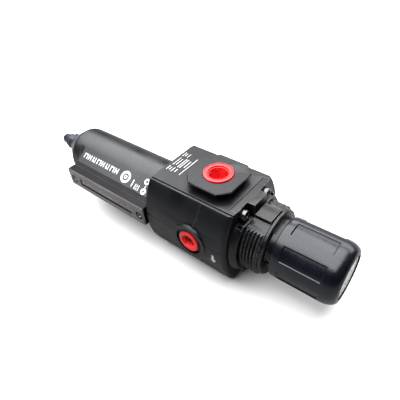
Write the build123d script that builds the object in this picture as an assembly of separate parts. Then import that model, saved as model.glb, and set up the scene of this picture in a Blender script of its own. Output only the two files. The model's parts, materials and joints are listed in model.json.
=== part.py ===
"""Compressed-air filter regulator with a bayonet metal bowl, laid on its outlet flange.

Frame: +X runs along the long axis from the drain to the adjusting knob, +Z is the flow axis from
the outlet flange up to the inlet flange, and -Y is the gauge side. The origin is the centre of the
outlet flange's face. Every piece is one solid in its own STEP file. All sizes are millimetres.
"""
import os
from math import asin, cos, degrees, radians, sin, sqrt

from build123d import *

# ---- driving dimensions -------------------------------------------------------------------------
PORT_TO_PORT = 68.0        # inlet flange face to outlet flange face
AXIS_Z = PORT_TO_PORT / 2  # height of the long axis over the outlet flange's face
BODY_HALF_HEIGHT = 28.2    # long axis to the flat top of the body
BODY_EDGE_Y = 20.0         # half width of that flat top
BODY_SHOULDER_Y = 21.8     # half width outside the edge groove
BODY_MID_Y = 30.2          # half width at the middle of the bulged sides
GAUGE_FACE_Y = 30.8        # face of the gauge bosses
BODY_BOWL_X = -37.5        # body face that the bowl locks against
PARTING_X = 20.5           # joint between body and bonnet
BODY_KNOB_X = 25.0         # end of the body's side walls, flush with the bonnet plate
PLATE_HALF_Y = 17.2        # half width of the bonnet plate between those walls
FLANGE_HALF = 16.7         # half width of the clamp flanges round the main ports
FLANGE_CORNER = 6.6        # their corner chamfers
FLANGE_LIP = 2.4           # thickness of their lips
GAUGE_X = -1.5             # gauge port axis
MAIN_PORT_R = 7.5          # wall radius of the 3/8 main ports
GAUGE_PORT_R = 5.7         # wall radius of the 1/4 gauge ports
GAUGE_BOSS_R = 12.3        # raised boss round a gauge port
GAUGE_SPOT = 1.4           # depth of its spot face
VALVE_CHAMBER_R = 11.0
PORT_DEPTH = 12.0
BODY_END_ROUND = 3.0       # rounding where the bulged sides end at the bonnet
SEAM_Z = 37.6              # height of the fine seam along the bulged sides
SEAM_WIDTH = 0.45
SEAM_DEPTH = 0.35

BOWL_R = 19.0              # outside radius of the bowl
BOWL_BORE_R = 16.2
BOWL_NECK_R = 16.9
BOWL_NECK_BORE_R = 14.5
BOWL_NECK_X = -25.0        # top of the bowl's neck inside the body
BOWL_START_X = -38.0       # bowl shoulder, just clear of the body
BOWL_SHOULDER_X = -136.5   # where the bowl's end cone starts
BOWL_END_X = -149.0
BOWL_END_R = 8.6
LUG_COUNT = 3
LUG_SPAN = 30.0            # degrees that each bayonet lug covers
LUG_TURN = 45.0            # degrees from locked to the entry slots
SIGHT_HALF_Z = 7.4         # half width of the sight glass housing
SIGHT_X = (-119.5, -38.8)  # its ends
SIGHT_FACE_Y = -32.3       # its outer face
SIGHT_PAD_Y = -25.1        # bowl pad that it seals on
WINDOW_X = (-106.0, -51.0)
WINDOW_HALF_Z = 2.6        # half width of the sight glass and of the slot behind it
LENS_FLANGE = 1.3          # flange of the sight glass beyond its raised window
SIGHT_SCREW_X = (-113.2, -43.2)

COLLAR_R = 26.8            # collar at the foot of the bonnet's thread, on the gauge sides only
COLLAR_END_R = 24.6        # its outer end after the taper
COLLAR_END_X = 29.4
COLLAR_HALF_Z = 18.6       # the collar is cut flat above and below this
THREAD_R = 22.6            # panel-mount thread of the bonnet
THREAD_DEPTH = 1.4
THREAD_START_X = 29.8
THREAD_PITCH = 2.2
THREAD_TURNS = 5
THREAD_HALF_Z = 16.8       # the thread is cut flat above and below this
CORE_R = 19.4
RING_X = (41.0, 43.7)      # flange between thread and neck
RING_R = 21.1
NECK_R = 16.9
BONNET_BORE_R = 14.5
BONNET_END_X = 57.0
VENT_X = 45.5              # vent hole through the neck on the gauge side
VENT_R = 1.3
FLAT_HALF_Z = 21.0         # wrench pads of the bonnet above and below
FLAT_HALF_Y = 6.0
FLAT_X = (30.0, 40.6)
SCREW_Y = 11.6
SCREW_Z = 23.2

KNOB_R = 19.15
KNOB_SKIRT_X = 47.5
KNOB_RIB_X = (52.7, 77.4)
KNOB_END_X = 87.0
DIAL_SEAT_X = 86.0         # floor of the pocket for the dial plate in the knob's end
DIAL_R = 13.6
DIAL_THICKNESS = 0.3
KNOB_END_R = 14.6
KNOB_RECESSES = 7
KNOB_RECESS_SPAN = 30.0    # degrees
KNOB_RECESS_FIRST = 93.0   # angle of one recess's middle, from +Y towards +Z
KNOB_BORE_R = 17.4

SEAT_X = -2.6              # valve face of the seat ring
SEAT_R = 4.5
STEM_R = 1.5
SPRING_BUTTON_X = (47.6, 51.0)

CLEAR = 0.3                # gap between curved faces that move past each other
FIT = 0.05                 # radial running clearance


# ---- helpers ------------------------------------------------------------------------------------
def across(x):
    """Plane across the long axis at x, with local x along +Y and local y along +Z."""
    return Plane(origin=(x, 0, AXIS_Z), x_dir=(0, 1, 0), z_dir=(1, 0, 0))


def rod(x0, x1, radius):
    """Cylinder on the long axis from x0 to x1."""
    return across(x0) * Cylinder(radius, x1 - x0, align=(Align.CENTER, Align.CENTER, Align.MIN))


def tube(x0, x1, outer, inner):
    """Tube on the long axis."""
    return rod(x0, x1, outer) - rod(x0, x1, inner)


def prism(x0, x1, sketch):
    """Sketch drawn across the long axis, pulled from x0 to x1."""
    return extrude(across(x0) * sketch, x1 - x0)


def turned(*corners):
    """Solid turned about the long axis from (x, radius) corners."""
    side = Plane(origin=(0, 0, AXIS_Z), x_dir=(1, 0, 0), z_dir=(0, -1, 0))
    face = make_face(side * Polyline(*corners, close=True))
    return revolve(face, axis=Axis((0, 0, AXIS_Z), (1, 0, 0)))


def along_z(x, y, z0, z1, radius):
    """Upright cylinder from height z0 to z1."""
    low = (Align.CENTER, Align.CENTER, Align.MIN)
    return Pos(x, y, z0) * Cylinder(radius, z1 - z0, align=low)


def along_y(x, z, y0, y1, radius):
    """Cylinder along Y from y0 to y1."""
    seam_at_45 = (1, 0, 1)
    start = Plane(origin=(x, y0, z), x_dir=seam_at_45, z_dir=(0, 1, 0))
    return start * Cylinder(radius, y1 - y0, align=(Align.CENTER, Align.CENTER, Align.MIN))


def block(x, y, z):
    """Box between the given (low, high) pairs."""
    size = [high - low for low, high in (x, y, z)]
    centre = [(high + low) / 2 for low, high in (x, y, z)]
    return Pos(*centre) * Box(*size)


def wedge(x0, x1, radius, middle, span):
    """Sector of a disc about the long axis, centred on the angle middle, span degrees wide."""
    turn = Location((0, 0, 0), (0, 0, middle - span / 2))
    sweep_points = [(0, 0)] + [
        (radius * cos(radians(a)), radius * sin(radians(a))) for a in (0, span / 2, span)
    ]
    centre, first, middle_point, last = sweep_points
    outline = [Line(centre, first), ThreePointArc(first, middle_point, last), Line(last, centre)]
    return prism(x0, x1, turn * make_face(outline))


def coil(x0, x1, mean_r, wire_r, turns):
    """Helical compression spring on the long axis."""
    height = x1 - x0 - 2 * wire_r
    path = across(x0 + wire_r) * Helix(height / turns, height, mean_r)
    profile = Plane(origin=path @ 0, z_dir=path % 0) * Circle(wire_r)
    return sweep(profile, path=path, is_frenet=True)


def o_ring(x, mean_r, cord_r):
    """Ring of round cord on the long axis, centred at x."""
    return across(x) * Torus(mean_r, cord_r)


def octagon(half, corner):
    """Square of half width half with its corners cut."""
    inner = half - corner
    points = [(half, inner), (inner, half), (-inner, half), (-half, inner)]
    points += [(-x, -y) for x, y in points]
    return make_face(Polyline(*points, close=True))


def merged(parts):
    """All the parts joined into one shape."""
    total = parts[0]
    for part in parts[1:]:
        total = total + part
    return total


# ---- body ---------------------------------------------------------------------------------------
def body_section():
    """Body outline across the long axis: flat top and bottom, bulged gauge sides, edge grooves."""
    top, rim = BODY_HALF_HEIGHT, BODY_HALF_HEIGHT - 0.5
    sides = []
    for side in (1, -1):
        shoulder = side * BODY_SHOULDER_Y
        sides.append(ThreePointArc((shoulder, -rim), (side * BODY_MID_Y, 0), (shoulder, rim)))
        for up in (1, -1):
            corner, step = (side * BODY_EDGE_Y, up * top), (side * (BODY_EDGE_Y + 0.7), up * rim)
            sides.append(Polyline(corner, (corner[0], up * (top - 0.9)),
                                  (step[0], up * (top - 0.9)), step, (shoulder, up * rim)))
    flats = [Line((-BODY_EDGE_Y, up * top), (BODY_EDGE_Y, up * top)) for up in (1, -1)]
    return make_face(sides + flats)


def side_seams():
    """Fine grooves along both bulged sides."""
    reach = BODY_MID_Y + 1
    length = (BODY_BOWL_X - 1, BODY_KNOB_X + 1)
    slab = block(length, (-reach, reach), (SEAM_Z - SEAM_WIDTH / 2, SEAM_Z + SEAM_WIDTH / 2))
    return slab - prism(*length, offset(body_section(), -SEAM_DEPTH))


def flange(up):
    """Clamp flange round a main port: an octagonal lip over a dovetail undercut."""
    face, root = up * AXIS_Z, up * BODY_HALF_HEIGHT
    lip = extrude(Pos(0, 0, face) * octagon(FLANGE_HALF, FLANGE_CORNER), -up * FLANGE_LIP)
    edges = lip.edges().group_by(Axis.Z)
    lip = chamfer(edges[0 if up > 0 else -1], 1.3)
    lip = chamfer(lip.edges().group_by(Axis.Z)[-1 if up > 0 else 0], 0.5)
    stem = extrude(Pos(0, 0, root - up) * octagon(FLANGE_HALF - 2.9, FLANGE_CORNER - 1.2),
                   up * (AXIS_Z - BODY_HALF_HEIGHT + 1 - 0.5))
    return Pos(0, 0, AXIS_Z) * (lip + stem)


def make_body():
    """Cast body with its ports, its chambers and the socket for the bowl."""
    body = prism(BODY_BOWL_X, BODY_KNOB_X, body_section())
    knob_ends = [edge for edge in body.edges()
                 if edge.center().X > BODY_KNOB_X - FIT and abs(edge.center().Y) > BODY_SHOULDER_Y]
    body = fillet(knob_ends, BODY_END_ROUND) - side_seams()
    body += flange(1) + flange(-1)
    for side in (1, -1):
        low, high = sorted((0, side * GAUGE_FACE_Y))
        body += along_y(GAUGE_X, AXIS_Z, low, high, GAUGE_BOSS_R)
    slot_y = PLATE_HALF_Y + FIT
    body -= block((PARTING_X, BODY_KNOB_X + 1), (-slot_y, slot_y), (-1, PORT_TO_PORT + 1))
    # bowl socket with its bayonet groove and entry slots
    body -= rod(BODY_BOWL_X - 1, -22.0, BOWL_NECK_R + 0.3)
    body -= rod(-35.9, -32.4, BOWL_R + 0.3)
    for i in range(LUG_COUNT):
        angle = 90 + LUG_TURN + 360 / LUG_COUNT * i
        body -= wedge(BODY_BOWL_X - 1, -35.5, BOWL_R + 0.2, angle, LUG_SPAN + 6)
    # inlet chamber, seat bore, outlet chamber, diaphragm chamber and bead seat
    body -= rod(-22.5, -2.0, VALVE_CHAMBER_R)
    body -= rod(-3.0, 3.0, 6.0)
    body -= rod(1.6, 12.0, 9.0)
    body -= rod(11.5, PARTING_X + 1, 14.0)
    body -= rod(PARTING_X - 1.3, PARTING_X + 1, 17.0)
    # main ports: a spot face and a threaded wall
    for up, spot in ((1, 1.0), (-1, 2.0)):
        face = AXIS_Z + up * AXIS_Z
        low, high = sorted((face + up, face - up * spot))
        body -= along_z(0, 0, low, high, 9.8)
        low, high = sorted((face, face - up * PORT_DEPTH))
        body -= along_z(0, 0, low, high, MAIN_PORT_R)
    # inlet drilling to the ring of air round the filter, outlet drilling to the outlet chamber
    body -= tube(-22.5, -18.5, 16.4, 12.2)
    body -= along_z(0, 0, AXIS_Z + 13.0, PORT_TO_PORT - PORT_DEPTH + 0.1, 3.3)
    body -= Pos(0, 0, 14.4) * rod(-22.5, 2.4, 2.4)
    body -= along_z(5.4, 0, PORT_DEPTH - 0.1, AXIS_Z - 7.0, 3.3)
    # gauge ports on both bulged sides: spot face, threaded wall and sensing hole
    for side in (1, -1):
        seat = side * (GAUGE_FACE_Y - GAUGE_SPOT)
        low, high = sorted((seat, side * (GAUGE_FACE_Y + 1)))
        body -= along_y(GAUGE_X, AXIS_Z, low, high, 9.6)
        low, high = sorted((seat, side * (GAUGE_FACE_Y - PORT_DEPTH)))
        body -= along_y(GAUGE_X, AXIS_Z, low, high, GAUGE_PORT_R)
        low, high = sorted((side * (GAUGE_FACE_Y - PORT_DEPTH + 0.1), side * 7.0))
        body -= along_y(2.9, AXIS_Z, low, high, 1.1)
    # tapped holes for the bonnet screws
    for y in (SCREW_Y, -SCREW_Y):
        for z in (SCREW_Z, -SCREW_Z):
            body -= Pos(0, y, z) * rod(PARTING_X - 9, PARTING_X + 1, 2.0)
    return body


def make_port_plug(flange_r, stem_r, flange_t, depth):
    """Plastic shipping plug with its open mouth up; its flange's underside is at z = 0."""
    low = (Align.CENTER, Align.CENTER, Align.MIN)
    plug = Cylinder(flange_r, flange_t, align=low)
    plug += Pos(0, 0, -depth) * Cylinder(stem_r, depth, align=low)
    mouth_h = depth + flange_t - 1.6
    return plug - Pos(0, 0, flange_t - mouth_h) * Cone(stem_r - 2.0, stem_r - 1.0, mouth_h, align=low)


def make_inlet_plug():
    """Plug of the inlet port, a little proud of the flange."""
    return Pos(0, 0, PORT_TO_PORT - 1.0) * make_port_plug(9.4, MAIN_PORT_R, 1.8, 9.0)


def make_outlet_plug():
    """Plug of the outlet port, sunk below the flange face so that the face can rest on a bench."""
    return Pos(0, 0, 2.0) * Rotation(180, 0, 0) * make_port_plug(9.4, MAIN_PORT_R, 1.8, 9.0)


def make_gauge_plug():
    """Plug of the gauge port on the -Y side."""
    seat = Pos(GAUGE_X, -GAUGE_FACE_Y + GAUGE_SPOT, AXIS_Z) * Rotation(90, 0, 0)
    return seat * make_port_plug(8.1, GAUGE_PORT_R, 1.7, 8.5)


# ---- bonnet, screws and panel ring --------------------------------------------------------------
def thread_profile():
    """(x, radius) corners of the ring thread round the bonnet's core."""
    root = THREAD_R - THREAD_DEPTH
    corners = [(BODY_KNOB_X + FIT, CORE_R - 3), (BODY_KNOB_X + FIT, root), (THREAD_START_X, root)]
    for turn in range(THREAD_TURNS):
        x = THREAD_START_X + turn * THREAD_PITCH
        corners += [(x + 0.35 * THREAD_PITCH, THREAD_R), (x + 0.6 * THREAD_PITCH, THREAD_R),
                    (x + 0.95 * THREAD_PITCH, root), (x + THREAD_PITCH, root)]
    return corners + [(RING_X[0] + 0.1, root), (RING_X[0] + 0.1, CORE_R - 3)]


def between_flats(half_z):
    """Slab that keeps what lies within half_z of the long axis, above and below."""
    across = (-COLLAR_R - 1, COLLAR_R + 1)
    return block((PARTING_X, RING_X[1]), across, (AXIS_Z - half_z, AXIS_Z + half_z))


def make_collar():
    """Tapered collar at the foot of the thread, with a pocket in each of its four cut ends."""
    foot = BODY_KNOB_X + FIT
    collar = turned((foot, CORE_R - 2), (foot, COLLAR_R), (foot + 1.4, COLLAR_R),
                    (COLLAR_END_X, COLLAR_END_R), (COLLAR_END_X, CORE_R - 2))
    collar &= between_flats(COLLAR_HALF_Z)
    pocket_y = (CORE_R - 3.2, CORE_R - 0.9)
    for side in (1, -1):
        for up in (1, -1):
            y = sorted((side * pocket_y[0], side * pocket_y[1]))
            z = sorted((AXIS_Z + up * (COLLAR_HALF_Z - 3.0), AXIS_Z + up * (COLLAR_HALF_Z + 1)))
            collar -= block((foot + 0.7, COLLAR_END_X - 0.7), y, z)
    return collar


def make_bonnet():
    """Bonnet: plate, collar, interrupted panel thread with pads, end flange, neck and end wall."""
    z_half = BODY_HALF_HEIGHT - FIT
    plate = block((PARTING_X, BODY_KNOB_X), (-PLATE_HALF_Y, PLATE_HALF_Y),
                  (AXIS_Z - z_half, AXIS_Z + z_half))
    plate += block((BODY_KNOB_X - 1, 30.0), (-6.5, 6.5), (AXIS_Z - z_half, AXIS_Z + z_half))
    shell = turned(*thread_profile()) & between_flats(THREAD_HALF_Z)
    shell += make_collar()
    shell += rod(BODY_KNOB_X + FIT, RING_X[1], CORE_R) + rod(BODY_KNOB_X - 1, 30.0, PLATE_HALF_Y - 0.4)
    ring_foot = RING_R - 0.8
    shell += turned((RING_X[0], CORE_R - 3), (RING_X[0], ring_foot), (RING_X[0] + 0.7, RING_R),
                    (RING_X[1] - 0.7, RING_R), (RING_X[1], ring_foot), (RING_X[1], CORE_R - 3))
    for up in (1, -1):
        low, high = sorted((AXIS_Z, AXIS_Z + up * FLAT_HALF_Z))
        shell += block(FLAT_X, (-FLAT_HALF_Y, FLAT_HALF_Y), (low, high))
    shell += rod(RING_X[1] - 1, BONNET_END_X, NECK_R)
    bonnet = plate + shell
    bonnet -= rod(PARTING_X - 1, BONNET_END_X - 3.0, BONNET_BORE_R)
    bonnet -= rod(BONNET_END_X - 4, BONNET_END_X + 1, 4.0 + FIT)
    for y in (SCREW_Y, -SCREW_Y):
        for z in (SCREW_Z, -SCREW_Z):
            bonnet -= Pos(0, y, z) * rod(PARTING_X - 1, BODY_KNOB_X + 1, 2.5)
    # two keyways that stop the spring button turning, and the vent on the gauge side
    for up in (1, -1):
        low, high = sorted((AXIS_Z + up * (BONNET_BORE_R - 1), AXIS_Z + up * (BONNET_BORE_R + 1.4)))
        bonnet -= block((38.0, 53.5), (-2.2, 2.2), (low, high))
    bonnet -= along_y(VENT_X, AXIS_Z, -NECK_R - 1, -BONNET_BORE_R + 1, VENT_R)
    return bonnet


def make_bonnet_screws():
    """Four socket-head screws as one node of separate solids."""
    screws = []
    for y in (SCREW_Y, -SCREW_Y):
        for z in (SCREW_Z, -SCREW_Z):
            shank = rod(PARTING_X - 8, BODY_KNOB_X + 0.2, 1.95)
            head = fillet(rod(BODY_KNOB_X, BODY_KNOB_X + 3.2, 3.3).edges().group_by(Axis.X)[-1], 0.4)
            socket = prism(BODY_KNOB_X + 1.4, BODY_KNOB_X + 4, RegularPolygon(1.7, 6))
            screws.append(Pos(0, y, z) * (shank + head - socket))
    return Compound(children=screws)


# ---- adjusting gear -----------------------------------------------------------------------------
def make_knob():
    """Adjusting knob: a ribbed cap with a hexagon socket that slides on the screw's hub."""
    shoulder = 8.2
    outline = [
        Line((KNOB_SKIRT_X, 0), (KNOB_SKIRT_X, KNOB_R - 1.0)),
        Line((KNOB_SKIRT_X, KNOB_R - 1.0), (KNOB_SKIRT_X + 0.6, KNOB_R - 0.4)),
        Line((KNOB_SKIRT_X + 0.6, KNOB_R - 0.4), (KNOB_RIB_X[0] - 1.0, KNOB_R)),
        Line((KNOB_RIB_X[0] - 1.0, KNOB_R), (KNOB_END_X - shoulder, KNOB_R)),
        RadiusArc((KNOB_END_X - shoulder, KNOB_R), (KNOB_END_X, KNOB_END_R), 9.0),
        Line((KNOB_END_X, KNOB_END_R), (KNOB_END_X, 0)),
        Line((KNOB_END_X, 0), (KNOB_SKIRT_X, 0)),
    ]
    side = Plane(origin=(0, 0, AXIS_Z), x_dir=(1, 0, 0), z_dir=(0, -1, 0))
    knob = revolve(side * make_face(outline), axis=Axis((0, 0, AXIS_Z), (1, 0, 0)))
    ring = rod(*KNOB_RIB_X, KNOB_R + 2) - rod(*KNOB_RIB_X, KNOB_R - 0.75)
    for i in range(KNOB_RECESSES):
        middle = KNOB_RECESS_FIRST + 360 / KNOB_RECESSES * i
        knob -= ring & wedge(*KNOB_RIB_X, KNOB_R + 2, middle, KNOB_RECESS_SPAN)
    cavity = turned((KNOB_SKIRT_X - 1, 0), (KNOB_SKIRT_X - 1, KNOB_BORE_R), (74.0, KNOB_BORE_R),
                    (82.0, 12.5), (82.0, 0))
    boss = rod(62.6, 83.0, 8.6)
    socket = prism(62.0, 79.5, RegularPolygon(6.0 + 2 * FIT, 6))
    knob = knob - cavity + boss - socket
    return knob - rod(DIAL_SEAT_X, KNOB_END_X + 1, DIAL_R + 2 * FIT)


def make_adjusting_screw():
    """Adjusting screw: thread, thrust collar, journal in the end wall and a hexagon hub."""
    thread_x = 37.0
    corners = [(thread_x, 0), (thread_x, 3.2)]
    pitch, turns = 1.5, 9
    for turn in range(turns):
        x = thread_x + 0.5 + turn * pitch
        corners += [(x, 3.2), (x + 0.6, 3.95), (x + 0.75, 3.95), (x + 1.35, 3.2)]
    corners += [(51.2, 3.2), (51.2, 6.5), (52.9, 6.5), (52.9, 4.0), (57.4, 4.0), (57.4, 3.2),
                (58.2, 3.2), (58.2, 4.0), (58.8, 4.0), (58.8, 0)]
    screw = turned(*corners)
    hub = prism(58.8, 75.5, RegularPolygon(6.0, 6))
    return screw + hub - tube(66.0, 67.2, 8.0, 4.4)


def make_screw_clip():
    """Open retaining ring in the adjusting screw's groove."""
    return tube(57.5, 58.1, 6.0, 3.25) - wedge(57.0, 59.0, 7.0, 90, 50)


def make_thrust_washer():
    """Washer between the adjusting screw's collar and the bonnet's end wall."""
    return tube(52.95, 53.95, 7.5, 4.1)


def make_detent_ring():
    """Ring in the hub's groove that holds the knob at its pushed and pulled places."""
    return o_ring(66.6, 4.84, 0.4)


def make_knob_label():
    """Round dial plate let into the knob's end."""
    return rod(DIAL_SEAT_X + 0.02, DIAL_SEAT_X + DIAL_THICKNESS, DIAL_R)


def make_spring_button():
    """Nut that travels on the adjusting screw, held from turning by two keys."""
    button = rod(*SPRING_BUTTON_X, BONNET_BORE_R - CLEAR) - rod(*SPRING_BUTTON_X, 4.0 + FIT)
    reach = BONNET_BORE_R + 1.0
    keys = block(SPRING_BUTTON_X, (-1.9, 1.9), (AXIS_Z - reach, AXIS_Z + reach))
    return button + (keys - rod(*SPRING_BUTTON_X, 8.0))


def make_regulating_spring():
    """Regulating spring between the diaphragm plate and the spring button."""
    return coil(PARTING_X + 1.65, SPRING_BUTTON_X[0] - 0.05, 10.7, 1.2, 6)


# ---- diaphragm and valve ------------------------------------------------------------------------
def make_diaphragm():
    """Rubber diaphragm with a bead at its rim and one rolled convolution."""
    return turned((PARTING_X - 1.2, 2.6), (PARTING_X - 1.2, 12.0), (PARTING_X - 2.2, 12.8),
                  (PARTING_X - 1.2, 13.6), (PARTING_X - 1.2, 16.9), (PARTING_X - 0.05, 16.9),
                  (PARTING_X - 0.05, 13.9), (PARTING_X - 1.0, 12.8), (PARTING_X - 0.05, 11.7),
                  (PARTING_X - 0.05, 2.6))


def make_diaphragm_plate():
    """Metal plate over the diaphragm that centres the regulating spring."""
    x = PARTING_X
    return turned((x, 2.6), (x, 11.2), (x + 0.6, 12.6), (x + 1.6, 12.6), (x + 1.6, 8.8), (x + 4.4, 8.6),
                  (x + 4.4, 2.6))


def make_relief_seat():
    """Relief seat rivet through the diaphragm and its plate."""
    x = PARTING_X
    rivet = turned((x - 4.0, 0), (x - 4.0, 3.0), (x - 1.2, 4.2), (x - 1.2, 2.6), (x + 4.4, 2.6),
                   (x + 4.4, 3.6), (x + 5.2, 3.6), (x + 5.2, 0))
    return rivet - rod(x - 5, x + 6, 0.8)


def make_valve():
    """Valve: a stem with a poppet disc that closes from the inlet side."""
    return turned((-17.5, 0), (-17.5, STEM_R), (-6.2, STEM_R), (-6.2, 5.8), (-4.0, 5.8), (-4.0, STEM_R),
                  (15.9, STEM_R), (16.4, 1.0), (16.4, 0))


def make_valve_pad():
    """Rubber pad bonded on the poppet, just off the seat."""
    return tube(-4.0, SEAT_X - 0.1, 5.6, STEM_R + 0.02)


def make_valve_seat():
    """Seat ring pressed in the web between the inlet and outlet chambers."""
    return tube(SEAT_X, 1.6, 6.0, SEAT_R)


def make_valve_guide():
    """Cup that guides the foot of the valve, seats its spring and lets filtered air through."""
    cup = turned((-22.0, 0), (-22.0, 8.5), (-13.5, 8.5), (-13.5, 7.3), (-15.2, 7.3), (-15.2, 0))
    cup -= rod(-19.3, -15.0, STEM_R + FIT)
    cup -= rod(-16.6, -15.0, 2.9)
    cup -= rod(-22.5, -19.8, 2.0)
    for i in range(6):
        angle = radians(60 * i)
        cup -= Pos(0, 4.9 * cos(angle), 4.9 * sin(angle)) * rod(-23, -15, 1.0)
    return cup


def make_valve_spring():
    """Light spring that shuts the valve."""
    return coil(-15.15, -6.25, 4.7, 0.45, 5)


def make_valve_stem_seal():
    """O-ring round the foot of the valve stem."""
    return o_ring(-15.9, 2.2, 0.64)


# ---- filter stack -------------------------------------------------------------------------------
def around(count, piece, first=0.0):
    """The piece repeated count times about the long axis."""
    to_axis, back = Pos(0, 0, AXIS_Z), Pos(0, 0, -AXIS_Z)
    step = 360 / count
    return merged([to_axis * Rotation(first + step * i, 0, 0) * back * piece for i in range(count)])


def make_swirl_vane():
    """Ring of slanted vanes that spins the air before it meets the bowl wall."""
    plate = tube(-23.6, -22.1, 16.8, 6.0)
    windows = merged([wedge(-24, -22, 14.0, 30 * i, 16) for i in range(12)]) - rod(-24, -22, 12.4)
    hub = tube(-33.5, -22.1, 8.6, 6.0)
    spokes = around(3, block((-27.0, -22.1), (2.8, 6.6), (AXIS_Z - 0.8, AXIS_Z + 0.8)))
    collar = tube(-27.0, -22.1, 3.3, 2.1)
    vane = block((-32.5, -23.0), (8.0, 13.8), (AXIS_Z - 0.5, AXIS_Z + 0.5))
    tilted = Location((-28, 0, AXIS_Z)) * Rotation(0, 28, 0) * Location((28, 0, -AXIS_Z)) * vane
    vanes = around(12, tilted, 15.0) & tube(-33.5, -22.2, 14.1, 8.0)
    return (plate - windows) + hub + spokes + collar + vanes


def make_element_gaskets():
    """Flat gaskets at both ends of the filter element."""
    return Compound(children=[tube(-34.3, -33.5, 8.6, 6.6), tube(-72.9, -72.1, 8.6, 6.6)])


def make_filter_element():
    """Porous filter tube."""
    return tube(-72.1, -34.3, 9.5, 6.5)


def make_baffle():
    """Quiet-zone baffle: a dished disc with drip fins under the element."""
    disc = turned((-72.9, 2.1), (-72.9, 10.0), (-76.5, 14.4), (-80.0, 14.4), (-80.0, 13.2),
                  (-77.0, 13.2), (-74.4, 9.4), (-74.4, 2.1))
    fins = around(6, block((-80.0, -73.4), (4.6, 13.4), (AXIS_Z - 0.5, AXIS_Z + 0.5)))
    return disc + (fins & turned((-80.0, 4.4), (-80.0, 13.6), (-76.8, 13.6), (-73.6, 9.6), (-73.6, 4.4)))


def make_baffle_stud():
    """Tie stud that screws into the valve guide and holds vane, element and baffle."""
    return turned((-78.0, 0), (-78.0, 4.2), (-74.4, 4.2), (-74.4, 1.95), (-19.9, 1.95), (-19.9, 0))


# ---- bowl ---------------------------------------------------------------------------------------
def bowl_section(radius, pad_half, pad_y):
    """Bowl outline across its axis: a circle with flat flanks that run to the sight glass pad."""
    reach = sqrt(pad_y ** 2 + pad_half ** 2)
    touch = degrees(asin(pad_half / reach)) + degrees(asin(sqrt(1 - (radius / reach) ** 2)))
    angle = radians(180 - touch)
    tangent = (radius * cos(angle), radius * sin(angle))
    outline = [
        ThreePointArc(tangent, (radius, 0), (tangent[0], -tangent[1])),
        Line((tangent[0], -tangent[1]), (-pad_y, -pad_half)),
        Line((-pad_y, -pad_half), (-pad_y, pad_half)),
        Line((-pad_y, pad_half), tangent),
    ]
    return make_face(outline)


def make_bowl():
    """Cast metal bowl with bayonet lugs, a sight glass pad and a coned end."""
    shell = turned((BOWL_NECK_X, 0), (BOWL_NECK_X, BOWL_NECK_R - 0.5),
                   (BOWL_NECK_X - 0.5, BOWL_NECK_R), (-28.0, BOWL_NECK_R), (-28.0, 15.3),
                   (-30.4, 15.3), (-30.4, BOWL_NECK_R),
                   (BOWL_START_X, BOWL_NECK_R), (BOWL_START_X, BOWL_R - 0.6),
                   (BOWL_START_X - 0.6, BOWL_R), (BOWL_SHOULDER_X, BOWL_R),
                   (BOWL_SHOULDER_X - 2.4, BOWL_R - 1.2),
                   (BOWL_END_X, BOWL_END_R), (BOWL_END_X, 0))
    for i in range(LUG_COUNT):
        lug = wedge(-35.3, -33.0, BOWL_R - 0.1, 90 + 360 / LUG_COUNT * i, LUG_SPAN)
        shell += lug
    section = bowl_section(BOWL_R - 0.05, SIGHT_HALF_Z + 0.3, -SIGHT_PAD_Y - 3)
    flanks = prism(SIGHT_X[0], BOWL_START_X - 0.6, section)
    pad = block((SIGHT_X[0], SIGHT_X[1]), (SIGHT_PAD_Y, -12.0),
                (AXIS_Z - SIGHT_HALF_Z, AXIS_Z + SIGHT_HALF_Z))
    bowl = shell + flanks + pad
    bowl -= turned((BOWL_NECK_X + 1, 0), (BOWL_NECK_X + 1, BOWL_NECK_BORE_R), (-40.0, BOWL_NECK_BORE_R),
                   (-41.5, BOWL_BORE_R), (-134.5, BOWL_BORE_R), (-145.5, 7.0), (-145.5, 0))
    bowl -= rod(BOWL_END_X - 1, -145, 4.2)
    window = (AXIS_Z - WINDOW_HALF_Z, AXIS_Z + WINDOW_HALF_Z)
    bowl -= block((WINDOW_X[0] + 3, WINDOW_X[1] - 3), (SIGHT_PAD_Y - 1, -10.0), window)
    for x in SIGHT_SCREW_X:
        bowl -= along_y(x, AXIS_Z, SIGHT_PAD_Y - 1, SIGHT_PAD_Y + 6.0, 1.6)
    return bowl


def make_bowl_o_ring():
    """O-ring in the groove of the bowl's neck."""
    return o_ring(-29.2, 16.22, 0.91)


def make_level_strip():
    """Coloured strip behind the sight glass that shows the liquid level."""
    half_z = WINDOW_HALF_Z - 0.1
    return block((WINDOW_X[0] + 4, WINDOW_X[1] - 4), (-23.6, -22.8),
                 (AXIS_Z - half_z, AXIS_Z + half_z))


def sight_plate(y0, y1, half_z, ends):
    """Plate of the sight glass housing between y0 and y1, with rounded corners."""
    plate = block(ends, (y0, y1), (AXIS_Z - half_z, AXIS_Z + half_z))
    return fillet(plate.edges().filter_by(Axis.Y), 1.2)


def make_sight_gasket():
    """Flat gasket under the sight glass frame."""
    gasket = sight_plate(SIGHT_PAD_Y - 0.8, SIGHT_PAD_Y, SIGHT_HALF_Z - 0.3, SIGHT_X)
    gasket -= block((WINDOW_X[0] + 3, WINDOW_X[1] - 3), (SIGHT_PAD_Y - 2, SIGHT_PAD_Y + 1),
                    (AXIS_Z - WINDOW_HALF_Z, AXIS_Z + WINDOW_HALF_Z))
    for x in SIGHT_SCREW_X:
        gasket -= along_y(x, AXIS_Z, SIGHT_PAD_Y - 2, SIGHT_PAD_Y + 1, 1.8)
    return gasket


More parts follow.
